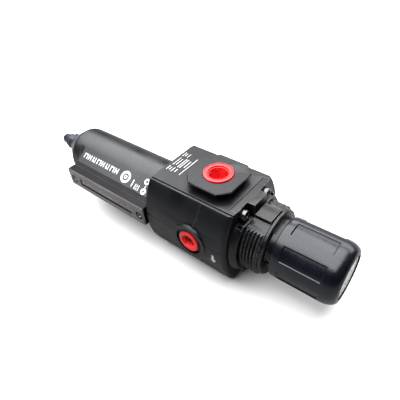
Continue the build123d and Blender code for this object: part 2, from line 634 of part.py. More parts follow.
def make_sight_lens():
    """Long clear sight glass: a flanged bar with a raised window."""
    back = SIGHT_PAD_Y - 0.8
    lens = block((WINDOW_X[0] - 2, WINDOW_X[1] + 2), (back - 2.2, back),
                 (AXIS_Z - WINDOW_HALF_Z - LENS_FLANGE, AXIS_Z + WINDOW_HALF_Z + LENS_FLANGE))
    raised = block(WINDOW_X, (SIGHT_FACE_Y + 0.5, back - 2.0),
                   (AXIS_Z - WINDOW_HALF_Z, AXIS_Z + WINDOW_HALF_Z))
    raised = fillet(raised.edges().filter_by(Axis.X).group_by(Axis.Y)[0], 1.0)
    return lens + raised


def make_sight_frame():
    """Cover frame that clamps the sight glass on the bowl."""
    back = SIGHT_PAD_Y - 0.8
    frame = sight_plate(SIGHT_FACE_Y, back, SIGHT_HALF_Z, SIGHT_X)
    frame = chamfer(frame.edges().group_by(Axis.Y)[0], 0.8)
    gap = FIT
    flange_z = WINDOW_HALF_Z + LENS_FLANGE + gap
    frame -= block((WINDOW_X[0] - gap, WINDOW_X[1] + gap), (SIGHT_FACE_Y - 1, back + 1),
                   (AXIS_Z - WINDOW_HALF_Z - gap, AXIS_Z + WINDOW_HALF_Z + gap))
    frame -= block((WINDOW_X[0] - 2 - gap, WINDOW_X[1] + 2 + gap), (back - 2.2 - gap, back + 1),
                   (AXIS_Z - flange_z, AXIS_Z + flange_z))
    for x in SIGHT_SCREW_X:
        frame -= along_y(x, AXIS_Z, SIGHT_FACE_Y - 1, back + 1, 1.8)
        frame -= along_y(x, AXIS_Z, SIGHT_FACE_Y - 1, SIGHT_FACE_Y + 1.4, 3.0)
    return frame


def make_sight_screws():
    """Two pan-head screws of the sight glass frame."""
    screws = []
    for x in SIGHT_SCREW_X:
        head = along_y(x, AXIS_Z, SIGHT_FACE_Y, SIGHT_FACE_Y + 1.4, 2.7)
        shank = along_y(x, AXIS_Z, SIGHT_FACE_Y + 1.3, SIGHT_PAD_Y + 5.0, 1.5)
        depth = (SIGHT_FACE_Y - 1, SIGHT_FACE_Y + 0.8)
        for long, thin in ((1.5, 0.3), (0.3, 1.5)):
            head -= block((x - long, x + long), depth, (AXIS_Z - thin, AXIS_Z + thin))
        screws.append(head + shank)
    return Compound(children=screws)


# ---- drain --------------------------------------------------------------------------------------
def make_drain_body():
    """Drain fitting through the bowl's end, with a hexagon outside."""
    hexagon = prism(-155.0, -149.8, RegularPolygon(7.9, 6)) & rod(-155.0, -149.8, 7.5)
    shank = rod(-149.9, -139.0, 4.15)
    return hexagon + shank - rod(-156, -138, 2.4)


def make_drain_gasket():
    """Gasket between the drain fitting and the bowl."""
    return tube(-149.8, BOWL_END_X, 7.0, 4.2)


def make_drain_nut():
    """Nut inside the bowl that holds the drain fitting."""
    return prism(-145.4, -142.0, RegularPolygon(6.6, 6)) - rod(-146, -141, 4.2)


def make_drain_stem():
    """Drain stem whose head lifts its seal off the fitting when the knob is turned."""
    return turned((-153.0, 0), (-153.0, 1.3), (-138.0, 1.3), (-138.0, 3.6), (-136.9, 3.6), (-136.4, 3.0),
                  (-136.4, 0))


def make_drain_seal():
    """Seal washer under the drain stem's head."""
    return tube(-138.9, -138.0, 3.5, 1.3)


def make_drain_knob():
    """Fluted drain knob with its spigot and hose nipple."""
    knob = turned((-161.0, 0), (-161.0, 5.0), (-160.4, 5.7), (-156.0, 5.7), (-155.4, 5.2), (-155.4, 0))
    groove = rod(-161.5, -155.0, 0.45)
    for i in range(18):
        angle = radians(20 * i)
        knob -= Pos(0, 5.9 * cos(angle), 5.9 * sin(angle)) * groove
    nipple = turned((-168.0, 0), (-168.0, 2.8), (-167.4, 3.6), (-166.4, 4.1), (-160.5, 4.1), (-160.5, 0))
    return knob + nipple + rod(-155.6, -151.0, 2.3) - rod(-169, -150, 1.6)


def main():
    """Build every piece and write its STEP file."""
    os.makedirs("parts", exist_ok=True)
    pieces = {
        "body": make_body, "inlet_port_plug": make_inlet_plug, "outlet_port_plug": make_outlet_plug,
        "front_gauge_plug": make_gauge_plug, "bonnet": make_bonnet, "bonnet_screws": make_bonnet_screws,
        "knob": make_knob, "knob_label": make_knob_label, "knob_detent_ring": make_detent_ring,
        "adjusting_screw": make_adjusting_screw, "screw_clip": make_screw_clip,
        "thrust_washer": make_thrust_washer, "spring_button": make_spring_button,
        "regulating_spring": make_regulating_spring, "diaphragm": make_diaphragm,
        "diaphragm_plate": make_diaphragm_plate, "relief_seat": make_relief_seat,
        "valve": make_valve, "valve_pad": make_valve_pad, "valve_seat": make_valve_seat,
        "valve_guide": make_valve_guide, "valve_spring": make_valve_spring,
        "valve_stem_seal": make_valve_stem_seal, "swirl_vane": make_swirl_vane,
        "element_gaskets": make_element_gaskets, "filter_element": make_filter_element,
        "baffle": make_baffle, "baffle_stud": make_baffle_stud, "bowl": make_bowl,
        "bowl_o_ring": make_bowl_o_ring, "level_strip": make_level_strip,
        "sight_gasket": make_sight_gasket, "sight_lens": make_sight_lens,
        "sight_frame": make_sight_frame, "sight_screws": make_sight_screws,
        "drain_body": make_drain_body, "drain_gasket": make_drain_gasket, "drain_nut": make_drain_nut,
        "drain_stem": make_drain_stem, "drain_seal": make_drain_seal, "drain_knob": make_drain_knob,
    }
    for name, make in pieces.items():
        export_step(make(), f"parts/{name}.step")


main()
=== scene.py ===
"""Looks of a compressed-air filter regulator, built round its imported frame.

The regulator stands on its outlet flange with its long axis level: +X runs from the drain to the
adjusting knob, +Z from the outlet to the inlet, and -Y is the gauge side. Shapes are modelled in
millimetres about the long axis and placed in the frame, in metres, when they are finished.
"""

import json
import logging
import math
from dataclasses import dataclass, field
from typing import Callable, Optional, Sequence

import bmesh
import bpy
from mathutils import Matrix, Vector


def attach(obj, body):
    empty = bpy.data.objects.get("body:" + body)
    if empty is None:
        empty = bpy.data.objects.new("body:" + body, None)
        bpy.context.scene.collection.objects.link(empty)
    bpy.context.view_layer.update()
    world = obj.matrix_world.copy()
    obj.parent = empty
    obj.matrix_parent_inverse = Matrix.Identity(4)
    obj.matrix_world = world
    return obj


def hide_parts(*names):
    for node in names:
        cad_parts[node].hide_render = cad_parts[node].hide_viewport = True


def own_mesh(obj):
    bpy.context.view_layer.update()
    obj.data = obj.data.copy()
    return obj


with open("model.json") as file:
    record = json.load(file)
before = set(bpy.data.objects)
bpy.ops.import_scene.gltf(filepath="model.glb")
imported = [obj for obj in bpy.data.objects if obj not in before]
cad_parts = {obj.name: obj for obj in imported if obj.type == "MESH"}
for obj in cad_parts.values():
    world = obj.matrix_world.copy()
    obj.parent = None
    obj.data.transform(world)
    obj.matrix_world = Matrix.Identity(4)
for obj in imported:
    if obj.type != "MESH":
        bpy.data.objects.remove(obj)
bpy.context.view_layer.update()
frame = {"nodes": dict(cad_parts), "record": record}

LOG = logging.getLogger("regulator")
MM = 0.001
AXIS_Z = 34.0
PLACE = Matrix.Scale(MM, 4) @ Matrix.Translation((0.0, 0.0, AXIS_Z))

Point = tuple[float, float]


# ---- finishes -----------------------------------------------------------------------------------
class GroupBuilder:
    """Shader node group whose named inputs and outputs are numbers."""

    SOCKET = "NodeSocketFloat"

    def __init__(self, name: str) -> None:
        """Start an empty group.

        Args:
            name: name of the group.
        """
        self.tree = bpy.data.node_groups.new(name, "ShaderNodeTree")
        self.entry = self.tree.nodes.new("NodeGroupInput")
        self.exit = self.tree.nodes.new("NodeGroupOutput")

    def take(self, name: str, value: float) -> None:
        """Add an input with its usual value."""
        socket = self.tree.interface.new_socket(name, in_out="INPUT", socket_type=self.SOCKET)
        socket.default_value = value

    def give(self, name: str) -> None:
        """Add an output."""
        self.tree.interface.new_socket(name, in_out="OUTPUT", socket_type=self.SOCKET)

    def node(self, kind: str, **values: object) -> bpy.types.Node:
        """Add a node of that kind and set its properties."""
        return add_node(self.tree, kind, **values)

    def step(self, low: float, high: float) -> bpy.types.Node:
        """Add a smooth step from 0 at one value to 1 at the other."""
        made = self.node("ShaderNodeMapRange", interpolation_type="SMOOTHSTEP")
        made.inputs["From Min"].default_value = low
        made.inputs["From Max"].default_value = high
        return made

    def link(self, source: bpy.types.NodeSocket, target: bpy.types.NodeSocket) -> None:
        """Join two sockets."""
        self.tree.links.new(source, target)


def add_node(tree: bpy.types.NodeTree, kind: str, **values: object) -> bpy.types.Node:
    """Add a node and set its properties.

    Args:
        tree: tree that gets the node.
        kind: Blender's name of the node's type.
        values: properties of the node; a name that starts with in_ sets that input by its number.

    Returns:
        The new node.
    """
    made = tree.nodes.new(kind)
    for name, value in values.items():
        if name.startswith("in_"):
            made.inputs[int(name[3:])].default_value = value
        else:
            setattr(made, name, value)
    return made


class Effects:
    """Surface effects that several finishes share, each built once as a node group."""

    def __init__(self) -> None:
        """Build the groups."""
        self.grain = self._grain()
        self.wear_and_highlight = self._wear_and_highlight()
        self.dust = self._dust()

    @staticmethod
    def _grain() -> bpy.types.NodeTree:
        """Fine grain, a slow ripple and blotches, on object coordinates.

        Returns:
            Group with Height and Tone outputs, both about 0 to 1.
        """
        group = GroupBuilder("surface_grain")
        group.take("Grain Scale", 2500.0)
        group.take("Ripple Scale", 300.0)
        group.take("Ripple Share", 0.4)
        group.take("Blotch Scale", 60.0)
        group.give("Height")
        group.give("Tone")
        where = group.node("ShaderNodeTexCoord")
        fine = group.node("ShaderNodeTexNoise", in_3=3.0, in_4=0.62)
        ripple = group.node("ShaderNodeTexNoise", in_3=2.0, in_4=0.5)
        blotch = group.node("ShaderNodeTexNoise", in_3=4.0, in_4=0.6)
        mix = group.node("ShaderNodeMix", data_type="FLOAT")
        spread = group.step(0.32, 0.68)
        for noise, scale in ((fine, "Grain Scale"), (ripple, "Ripple Scale"), (blotch, "Blotch Scale")):
            group.link(where.outputs["Object"], noise.inputs["Vector"])
            group.link(group.entry.outputs[scale], noise.inputs["Scale"])
        group.link(group.entry.outputs["Ripple Share"], mix.inputs[0])
        group.link(fine.outputs[0], mix.inputs[2])
        group.link(ripple.outputs[0], mix.inputs[3])
        group.link(blotch.outputs[0], spread.inputs["Value"])
        group.link(mix.outputs[0], group.exit.inputs["Height"])
        group.link(spread.outputs[0], group.exit.inputs["Tone"])
        return group.tree

    @staticmethod
    def _wear_and_highlight() -> bpy.types.NodeTree:
        """Mask of the convex edges, broken up by noise, for light edges that stand for wear and, on the
        bonnet, for a painted highlight.

        Returns:
            Group with a Mask output.
        """
        group = GroupBuilder("edge_wear_and_highlight")
        group.take("Width", 0.0004)
        group.take("Breakup Scale", 500.0)
        group.give("Mask")
        where = group.node("ShaderNodeTexCoord")
        rounded = group.node("ShaderNodeBevel", samples=4)
        flat = group.node("ShaderNodeNewGeometry")
        dot = group.node("ShaderNodeVectorMath", operation="DOT_PRODUCT")
        edge = group.step(0.995, 0.90)
        noise = group.node("ShaderNodeTexNoise", in_3=4.0, in_4=0.65)
        breakup = group.step(0.35, 0.6)
        both = group.node("ShaderNodeMath", operation="MULTIPLY")
        group.link(group.entry.outputs["Width"], rounded.inputs["Radius"])
        group.link(rounded.outputs[0], dot.inputs[0])
        group.link(flat.outputs["Normal"], dot.inputs[1])
        group.link(dot.outputs["Value"], edge.inputs["Value"])
        group.link(where.outputs["Object"], noise.inputs["Vector"])
        group.link(group.entry.outputs["Breakup Scale"], noise.inputs["Scale"])
        group.link(noise.outputs[0], breakup.inputs["Value"])
        group.link(edge.outputs[0], both.inputs[0])
        group.link(breakup.outputs[0], both.inputs[1])
        group.link(both.outputs[0], group.exit.inputs["Mask"])
        return group.tree

    @staticmethod
    def _dust() -> bpy.types.NodeTree:
        """Mask of fine dust that settles on faces that look up.

        Returns:
            Group with a Mask output.
        """
        group = GroupBuilder("settled_dust")
        group.take("Speck Scale", 900.0)
        group.give("Mask")
        where = group.node("ShaderNodeTexCoord")
        flat = group.node("ShaderNodeNewGeometry")
        split = group.node("ShaderNodeSeparateXYZ")
        up = group.step(0.1, 1.0)
        noise = group.node("ShaderNodeTexNoise", in_3=5.0, in_4=0.7)
        speck = group.step(0.52, 0.78)
        both = group.node("ShaderNodeMath", operation="MULTIPLY")
        group.link(where.outputs["Object"], noise.inputs["Vector"])
        group.link(group.entry.outputs["Speck Scale"], noise.inputs["Scale"])
        group.link(noise.outputs[0], speck.inputs["Value"])
        group.link(flat.outputs["Normal"], split.inputs[0])
        group.link(split.outputs["Z"], up.inputs["Value"])
        group.link(up.outputs[0], both.inputs[0])
        group.link(speck.outputs[0], both.inputs[1])
        group.link(both.outputs[0], group.exit.inputs["Mask"])
        return group.tree


Colour = tuple[float, float, float]
DUST_COLOUR: Colour = (0.42, 0.42, 0.42)
PLASTIC_BLEED = (0.0012, 0.0004, 0.0003)


@dataclass(frozen=True)
class Finish:
    """Finish of a surface: base colour, how it varies, and how it shines.

    Colours are linear; lengths are metres; scales are per metre.
    """

    name: str
    colour: Colour
    shade: Colour
    roughness: float = 0.45
    roughness_spread: float = 0.08
    metallic: float = 0.0
    specular: float = 0.5
    grain: float = 2500.0
    ripple: float = 300.0
    ripple_share: float = 0.3
    blotch: float = 60.0
    bump: float = 0.00001
    bump_strength: float = 0.35
    edge: Optional[Colour] = None
    edge_amount: float = 0.0
    edge_width: float = 0.0004
    dust: float = 0.0
    coat: float = 0.0
    coat_roughness: float = 0.1
    transmission: float = 0.0
    subsurface: float = 0.0
    ior: float = 1.5

    def build(self, effects: Effects) -> bpy.types.Material:
        """Make the material.

        Args:
            effects: the shared node groups.

        Returns:
            The material, with nodes.
        """
        material = bpy.data.materials.new(self.name)
        material.use_nodes = True
        tree = material.node_tree
        tree.nodes.clear()
        link = tree.links.new
        out = add_node(tree, "ShaderNodeOutputMaterial")
        shader = add_node(tree, "ShaderNodeBsdfPrincipled")
        link(shader.outputs[0], out.inputs["Surface"])
        sockets = {
            "Metallic": self.metallic, "Specular IOR Level": self.specular, "IOR": self.ior,
            "Coat Weight": self.coat, "Coat Roughness": self.coat_roughness,
            "Transmission Weight": self.transmission, "Subsurface Weight": self.subsurface,
        }
        for name, value in sockets.items():
            shader.inputs[name].default_value = value
        if self.subsurface:
            shader.inputs["Subsurface Radius"].default_value = PLASTIC_BLEED
        grain = add_node(tree, "ShaderNodeGroup", node_tree=effects.grain)
        for name, value in (("Grain Scale", self.grain), ("Ripple Scale", self.ripple),
                            ("Ripple Share", self.ripple_share), ("Blotch Scale", self.blotch)):
            grain.inputs[name].default_value = value
        tone = add_node(tree, "ShaderNodeMix", data_type="RGBA")
        tone.inputs[6].default_value = (*self.shade, 1.0)
        tone.inputs[7].default_value = (*self.colour, 1.0)
        link(grain.outputs["Tone"], tone.inputs[0])
        colour = tone.outputs[2]
        rough = add_node(tree, "ShaderNodeMapRange")
        rough.inputs["To Min"].default_value = self.roughness - self.roughness_spread
        rough.inputs["To Max"].default_value = self.roughness + self.roughness_spread
        link(grain.outputs["Tone"], rough.inputs["Value"])
        # lighter convex edges: worn paint on most finishes, and a painted highlight on the bonnet's edges
        if self.edge is not None:
            wear_and_highlight = add_node(tree, "ShaderNodeGroup", node_tree=effects.wear_and_highlight)
            wear_and_highlight.inputs["Width"].default_value = self.edge_width
            colour = self._over(tree, colour, self.edge, self.edge_amount, wear_and_highlight.outputs["Mask"])
        if self.dust:
            dust = add_node(tree, "ShaderNodeGroup", node_tree=effects.dust)
            colour = self._over(tree, colour, DUST_COLOUR, self.dust, dust.outputs["Mask"])
        link(colour, shader.inputs["Base Color"])
        link(rough.outputs[0], shader.inputs["Roughness"])
        bump = add_node(tree, "ShaderNodeBump")
        bump.inputs["Strength"].default_value = self.bump_strength
        bump.inputs["Distance"].default_value = self.bump
        link(grain.outputs["Height"], bump.inputs["Height"])
        link(bump.outputs[0], shader.inputs["Normal"])
        return material

    @staticmethod
    def _over(tree: bpy.types.NodeTree, under: bpy.types.NodeSocket, top: Colour, amount: float,
              mask: bpy.types.NodeSocket) -> bpy.types.NodeSocket:
        """Lay a colour over another where the mask is high.

        Args:
            tree: tree of the material.
            under: colour socket below.
            top: colour laid over it.
            amount: share of the top colour at a full mask.
            mask: socket of the mask.

        Returns:
            The mixed colour's socket.
        """
        share = add_node(tree, "ShaderNodeMath", operation="MULTIPLY", in_1=amount)
        mixed = add_node(tree, "ShaderNodeMix", data_type="RGBA")
        mixed.inputs[7].default_value = (*top, 1.0)
        tree.links.new(mask, share.inputs[0])
        tree.links.new(share.outputs[0], mixed.inputs[0])
        tree.links.new(under, mixed.inputs[6])
        return mixed.outputs[2]


FINISHES: dict[str, Finish] = {
    "body_paint": Finish("body_paint_satin", (0.0095, 0.010, 0.0125), (0.0065, 0.007, 0.0085), 0.40, 0.05,
                         grain=2600, ripple=520, ripple_share=0.35, bump=0.000035, bump_strength=0.45,
                         edge=(0.13, 0.13, 0.135), edge_amount=0.4, dust=0.03),
    "bowl_paint": Finish("bowl_paint_satin", (0.026, 0.028, 0.030), (0.019, 0.020, 0.022), 0.36, 0.05,
                         grain=3000, ripple=420, ripple_share=0.3, bump=0.00003, bump_strength=0.4,
                         edge=(0.14, 0.14, 0.145), edge_amount=0.3, dust=0.10),
    # frame paint, and also the painted shade on the up-facing faces of the bowl's gauge-side pad
    "frame_paint": Finish("frame_paint_and_pad_shade", (0.010, 0.010, 0.012), (0.007, 0.007, 0.009), 0.46, 0.06,
                          specular=0.2, grain=3000, bump=0.00003, edge=(0.15, 0.15, 0.155), edge_amount=0.35),
    # painted light: lighter copy of the frame paint, given to the sight frame's faces towards -Y for the
    # light they catch
    "frame_face": Finish("frame_face_painted_light", (0.12, 0.117, 0.12), (0.10, 0.097, 0.10), 0.38, 0.06,
                         grain=3000, bump=0.00003, edge=(0.2, 0.2, 0.21), edge_amount=0.3, dust=0.05),
    # painted highlight: the bonnet's light edge colour and large edge amount stand for light caught on its
    # edges
    "bonnet_plastic": Finish("bonnet_plastic_black", (0.0105, 0.011, 0.0125), (0.0075, 0.008, 0.009),
                             0.32, 0.06, grain=3600, bump=0.00002, edge=(0.24, 0.24, 0.25),
                             edge_amount=0.75, dust=0.04),
    "knob_plastic": Finish("knob_plastic_black", (0.0105, 0.0125, 0.018), (0.0075, 0.009, 0.0135), 0.30, 0.05,
                           grain=4200, ripple=260, ripple_share=0.25, bump=0.000018, bump_strength=0.35,
                           edge=(0.07, 0.075, 0.09), edge_amount=0.25, dust=0.08, coat=0.15,
                           coat_roughness=0.18),
    "label_print": Finish("label_white_print", (0.80, 0.80, 0.80), (0.74, 0.74, 0.75), 0.36, 0.05,
                          grain=5200, bump=0.000006),
    "red_plastic": Finish("plug_red_plastic", (0.62, 0.040, 0.042), (0.50, 0.026, 0.028), 0.30, 0.07,
                          grain=1800, ripple=240, bump=0.000025, subsurface=0.04,
                          edge=(0.85, 0.10, 0.09), edge_amount=0.4, dust=0.03),
    "drain_plastic": Finish("drain_plastic_black", (0.040, 0.043, 0.054), (0.030, 0.033, 0.042), 0.36, 0.06,
                            grain=3800, bump=0.00002, edge=(0.09, 0.09, 0.10), edge_amount=0.3, dust=0.08),
    "inner_plastic": Finish("inner_acetal_grey", (0.10, 0.10, 0.11), (0.085, 0.085, 0.095), 0.45, 0.05),
    "filter_white": Finish("filter_sintered_white", (0.78, 0.78, 0.75), (0.68, 0.68, 0.65), 0.85, 0.06,
                           grain=1400, ripple_share=0.1, bump=0.00018, bump_strength=0.8),
    "seal_rubber": Finish("seal_nitrile_rubber", (0.014, 0.014, 0.014), (0.010, 0.010, 0.010), 0.62, 0.06,
                          grain=2200, bump=0.00002),
    "sight_clear": Finish("sight_clear_nylon", (0.80, 0.70, 0.70), (0.72, 0.62, 0.62), 0.16, 0.04,
                          transmission=0.85, grain=1500, bump=0.000012, ior=1.53),
    "indicator_red": Finish("indicator_red_strip", (0.34, 0.018, 0.026), (0.27, 0.013, 0.02), 0.42, 0.05),
    "screw_steel": Finish("screw_zinc_plate", (0.60, 0.60, 0.61), (0.50, 0.50, 0.51), 0.26, 0.07,
                          metallic=1.0, grain=5000, bump=0.000006),
    "screw_black": Finish("screw_black_oxide", (0.17, 0.17, 0.175), (0.11, 0.11, 0.115), 0.26, 0.08,
                          metallic=0.85, grain=4200, bump=0.000008, edge=(0.4, 0.4, 0.4), edge_amount=0.4,
                          edge_width=0.0002),
    "turned_steel": Finish("steel_turned", (0.52, 0.52, 0.54), (0.44, 0.44, 0.46), 0.3, 0.06,
                           metallic=1.0, grain=4200, bump=0.000006),
    "spring_steel": Finish("steel_spring", (0.36, 0.36, 0.38), (0.28, 0.28, 0.30), 0.35, 0.06,
                           metallic=1.0, grain=4200, bump=0.000006),
    "brass_parts": Finish("brass_turned", (0.70, 0.50, 0.22), (0.60, 0.42, 0.17), 0.28, 0.06,
                          metallic=1.0, grain=4200, bump=0.000006),
    "plate_aluminium": Finish("aluminium_pressed", (0.66, 0.66, 0.68), (0.58, 0.58, 0.60), 0.36, 0.06,
                              metallic=1.0, grain=4000, bump=0.000008),
    "print_ink": Finish("print_ink_white", (0.66, 0.66, 0.66), (0.50, 0.50, 0.50), 0.5, 0.05, grain=3000,
                        bump=0.000006),
}


class Wardrobe:
    """Every finish as a material, made when it is first asked for."""

    def __init__(self) -> None:
        """Build the shared effects."""
        self.effects = Effects()
        self.made: dict[str, bpy.types.Material] = {}

    def get(self, slot: str) -> bpy.types.Material:
        """The material of a slot.

        Args:
            slot: name of the material slot or print.

        Returns:
            Its material.
        """
        if slot not in self.made:
            self.made[slot] = FINISHES[slot].build(self.effects)
        return self.made[slot]


# ---- stage --------------------------------------------------------------------------------------
@dataclass
class Studio:
    """Pale floor, soft lights and the camera."""

    azimuth: float = 42.03
    elevation: float = 42.16
    roll: float = -5.08
    lens: float = 33.59
    station: tuple[float, float, float] = (0.10823, -0.13855, 0.20648)
    floor_half: float = 1.6
    floor_bounce: float = 0.34
    floor_tone: float = 0.70
    sky_strength: float = 0.05
    top_power: float = 21.0
    back_power: float = 3.5

    def build(self) -> None:
        """Make the floor, the lights and the camera."""
        self._floor()
        self._sky()
        self._light("softbox_top", (-0.30, 0.02, 0.62), (-0.30, 0.02, 0.0), (1.25, 1.10),
                    self.top_power)
        self._light("softbox_back", (0.05, 0.75, 0.42), (0.0, 0.0, 0.03), (0.9, 0.35),
                    self.back_power)
        self._camera()

    def _floor(self) -> None:
        """Pale floor that the regulator stands on, darker to the light that it throws back."""
        shape = bmesh.new()
        bmesh.ops.create_grid(shape, x_segments=1, y_segments=1, size=self.floor_half)
        mesh = bpy.data.meshes.new("floor")
        shape.to_mesh(mesh)
        shape.free()
        floor = bpy.data.objects.new("floor", mesh)
        bpy.context.scene.collection.objects.link(floor)
        material = bpy.data.materials.new("floor_white")
        material.use_nodes = True
        shader = material.node_tree.nodes["Principled BSDF"]
        shader.inputs["Roughness"].default_value = 0.55
        shader.inputs["Specular IOR Level"].default_value = 0.25
        seen = add_node(material.node_tree, "ShaderNodeLightPath")
        tone = add_node(material.node_tree, "ShaderNodeMix", data_type="RGBA")
        tone.inputs[6].default_value = (*[self.floor_bounce] * 3, 1.0)
        tone.inputs[7].default_value = (*[self.floor_tone] * 3, 1.0)
        link = material.node_tree.links.new
        link(seen.outputs["Is Camera Ray"], tone.inputs[0])
        link(tone.outputs[2], shader.inputs["Base Color"])
        mesh.materials.append(material)

    def _sky(self) -> None:
        """Faint even surround that keeps the shadows open."""
        world = bpy.data.worlds.new("surround")
        bpy.context.scene.world = world
        world.use_nodes = True
        back = world.node_tree.nodes["Background"]
        back.inputs["Color"].default_value = (1.0, 1.0, 1.0, 1.0)
        back.inputs["Strength"].default_value = self.sky_strength

    @staticmethod
    def _light(name: str, place: Sequence[float], target: Sequence[float], size: Point,
               power: float) -> None:
        """Add a rectangular soft light.

        Args:
            name: name of the light.
            place: where it hangs.
            target: point that it faces.
            size: its width and height.
            power: its power in watts.
        """
        data = bpy.data.lights.new(name, "AREA")
        data.shape = "RECTANGLE"
        data.size, data.size_y = size
        data.energy = power
        light = bpy.data.objects.new(name, data)
        light.location = place
        light.rotation_mode = "QUATERNION"
        light.rotation_quaternion = (Vector(target) - Vector(place)).to_track_quat("-Z", "Y")
        bpy.context.scene.collection.objects.link(light)

    def _camera(self) -> None:
        """Camera above the gauge side, on the knob's side."""
        data = bpy.data.cameras.new("camera")
        data.lens, data.sensor_width = self.lens, 36.0
        data.clip_start, data.clip_end = 0.01, 10.0
        azimuth, elevation, roll = map(math.radians, (self.azimuth, self.elevation, self.roll))
        back = Vector((math.sin(azimuth) * math.cos(elevation), -math.cos(azimuth) * math.cos(elevation),
                       math.sin(elevation)))
        right = Vector((math.cos(azimuth), math.sin(azimuth), 0.0))
        up = back.cross(right)
        side = right * math.cos(roll) + up * math.sin(roll)
        top = up * math.cos(roll) - right * math.sin(roll)
        camera = bpy.data.objects.new("camera", data)
        camera.rotation_mode = "QUATERNION"
        camera.rotation_quaternion = Matrix((side, top, back)).transposed().to_quaternion()
        camera.location = self.station
        bpy.context.scene.collection.objects.link(camera)
        bpy.context.scene.camera = camera
        scene = bpy.context.scene
        scene.view_settings.view_transform = "Standard"
        scene.view_settings.look = "High Contrast"


# ---- shapes -------------------------------------------------------------------------------------
class Shape:
    """A bmesh in millimetres, with the long axis of the regulator as its own X axis."""

    def __init__(self) -> None:
        """Start with nothing."""
        self.bm = bmesh.new()

    @classmethod
    def turned(cls, profile: Sequence[Point], steps: int = 96, corner: float = 0.0,
               segments: int = 3) -> "Shape":
        """Closed solid turned about the long axis.

        Args:
            profile: (x, radius) corners of the closed outline.
            steps: number of facets round the axis.
            corner: radius of its rounded corners, for those off the axis.
            segments: facets of each rounded corner.

        Returns:
            The shape.
        """
        shape = cls()
        bm = shape.bm
        verts = [bm.verts.new((x, 0.0, r)) for x, r in profile]
        count = len(verts)
        for index, vert in enumerate(verts):
            following = verts[(index + 1) % count]
            if vert.co.z > 0.0 or following.co.z > 0.0:
                bm.edges.new((vert, following))
        if corner:
            round_off = [v for v in verts if v.co.z > 0.0]
            bmesh.ops.bevel(bm, geom=round_off, offset=corner, offset_type="OFFSET", affect="VERTICES",
                            segments=segments, profile=0.5, material=-1, clamp_overlap=True)
        bmesh.ops.spin(bm, geom=bm.verts[:] + bm.edges[:], cent=(0, 0, 0), axis=(1, 0, 0),
                       dvec=(0, 0, 0), angle=2 * math.pi, steps=steps, use_merge=True)
        shape.close()
        return shape

    @classmethod
    def copied(cls, node: str) -> "Shape":
        """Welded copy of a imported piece.

        Args:
            node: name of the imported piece.

        Returns:
            The shape, with its flat faces whole.
        """
        shape = cls()
        shape.bm.from_mesh(frame["nodes"][node].data)
        bmesh.ops.transform(shape.bm, matrix=PLACE.inverted(), verts=shape.bm.verts[:])
        bmesh.ops.remove_doubles(shape.bm, verts=shape.bm.verts[:], dist=0.002)
        bmesh.ops.dissolve_limit(shape.bm, angle_limit=math.radians(0.6), use_dissolve_boundaries=False,
                                 verts=shape.bm.verts[:], edges=shape.bm.edges[:])
        return shape

    def close(self) -> None:
        """Merge doubled points and turn every face outwards."""
        bmesh.ops.remove_doubles(self.bm, verts=self.bm.verts[:], dist=0.0005)
        bmesh.ops.dissolve_degenerate(self.bm, edges=self.bm.edges[:], dist=0.0001)
        bmesh.ops.recalc_face_normals(self.bm, faces=self.bm.faces[:])

    def move(self, matrix: Matrix) -> "Shape":
        """Apply a transform and give back the shape."""
        bmesh.ops.transform(self.bm, matrix=matrix, verts=self.bm.verts[:])
        return self

    def join(self, other: "Shape") -> "Shape":
        """Take in another shape's faces and give back this one."""
        mesh = bpy.data.meshes.new("joined")
        other.bm.to_mesh(mesh)
        self.bm.from_mesh(mesh)
        bpy.data.meshes.remove(mesh)
        other.bm.free()
        return self

    def bevel(self, width: float, angle: float = 30.0, segments: int = 2,
              keep: Optional[Callable[[bmesh.types.BMEdge], bool]] = None) -> "Shape":
        """Round the edges that are sharper than an angle.

        Args:
            width: width of the rounding.
            angle: least angle between the faces, in degrees.
            segments: facets of the rounding.
            keep: test that an edge also has to pass.

        Returns:
            The shape.
        """
        limit = math.radians(angle)
        edges = [e for e in self.bm.edges
                 if len(e.link_faces) == 2 and e.calc_face_angle(0.0) > limit and (not keep or keep(e))]
        bmesh.ops.bevel(self.bm, geom=edges, offset=width, offset_type="OFFSET", affect="EDGES",
                        segments=segments, profile=0.5, material=-1, clamp_overlap=True)
        return self


@dataclass
class Builder:
    """Puts finished shapes in the scene."""

    wardrobe: Wardrobe

    def finish(self, shape: Shape, name: str, slot: str, body: str, replaces: Sequence[str] = (),
               finish: Optional[str] = None, smooth: float = 38.0,
               rounding: float = 0.0) -> bpy.types.Object:
        """Make an object of a shape, dress it and tie it to its body.

        Args:
            shape: the shape, in millimetres.
            name: name of the piece.
            slot: the record's material slot that it takes its finish from.
            body: the body that it rides on.
            replaces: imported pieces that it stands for.
            finish: name of the finish, where it isn't the slot's own.
            smooth: angle in degrees below which neighbouring faces shade as one.
            rounding: width in millimetres of a live bevel on its sharp edges.

        Returns:
            The object.
        """
        shape.move(PLACE)
        mesh = bpy.data.meshes.new(name)
        shape.bm.to_mesh(mesh)
        shape.bm.free()
        mesh.shade_smooth()
        mesh.set_sharp_from_angle(angle=math.radians(smooth))
        mesh.materials.append(self.wardrobe.get(finish or slot))
        piece = bpy.data.objects.new(name, mesh)
        bpy.context.scene.collection.objects.link(piece)
        if rounding:
            bevel = piece.modifiers.new("edges", "BEVEL")
            bevel.width = rounding * MM
            bevel.segments = 2
            bevel.limit_method = "ANGLE"
            bevel.angle_limit = math.radians(smooth)
            bevel.use_clamp_overlap = True
            bevel.harden_normals = False
        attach(piece, body)
        if replaces:
            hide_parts(*replaces)
        LOG.info("built %s: %d faces, rides on %s", name, len(mesh.polygons), body)
        return piece


def polar(angle: float, radius: float) -> tuple[float, float]:
    """(y, z) at an angle in degrees from +Y towards +Z."""
    return radius * math.cos(math.radians(angle)), radius * math.sin(math.radians(angle))


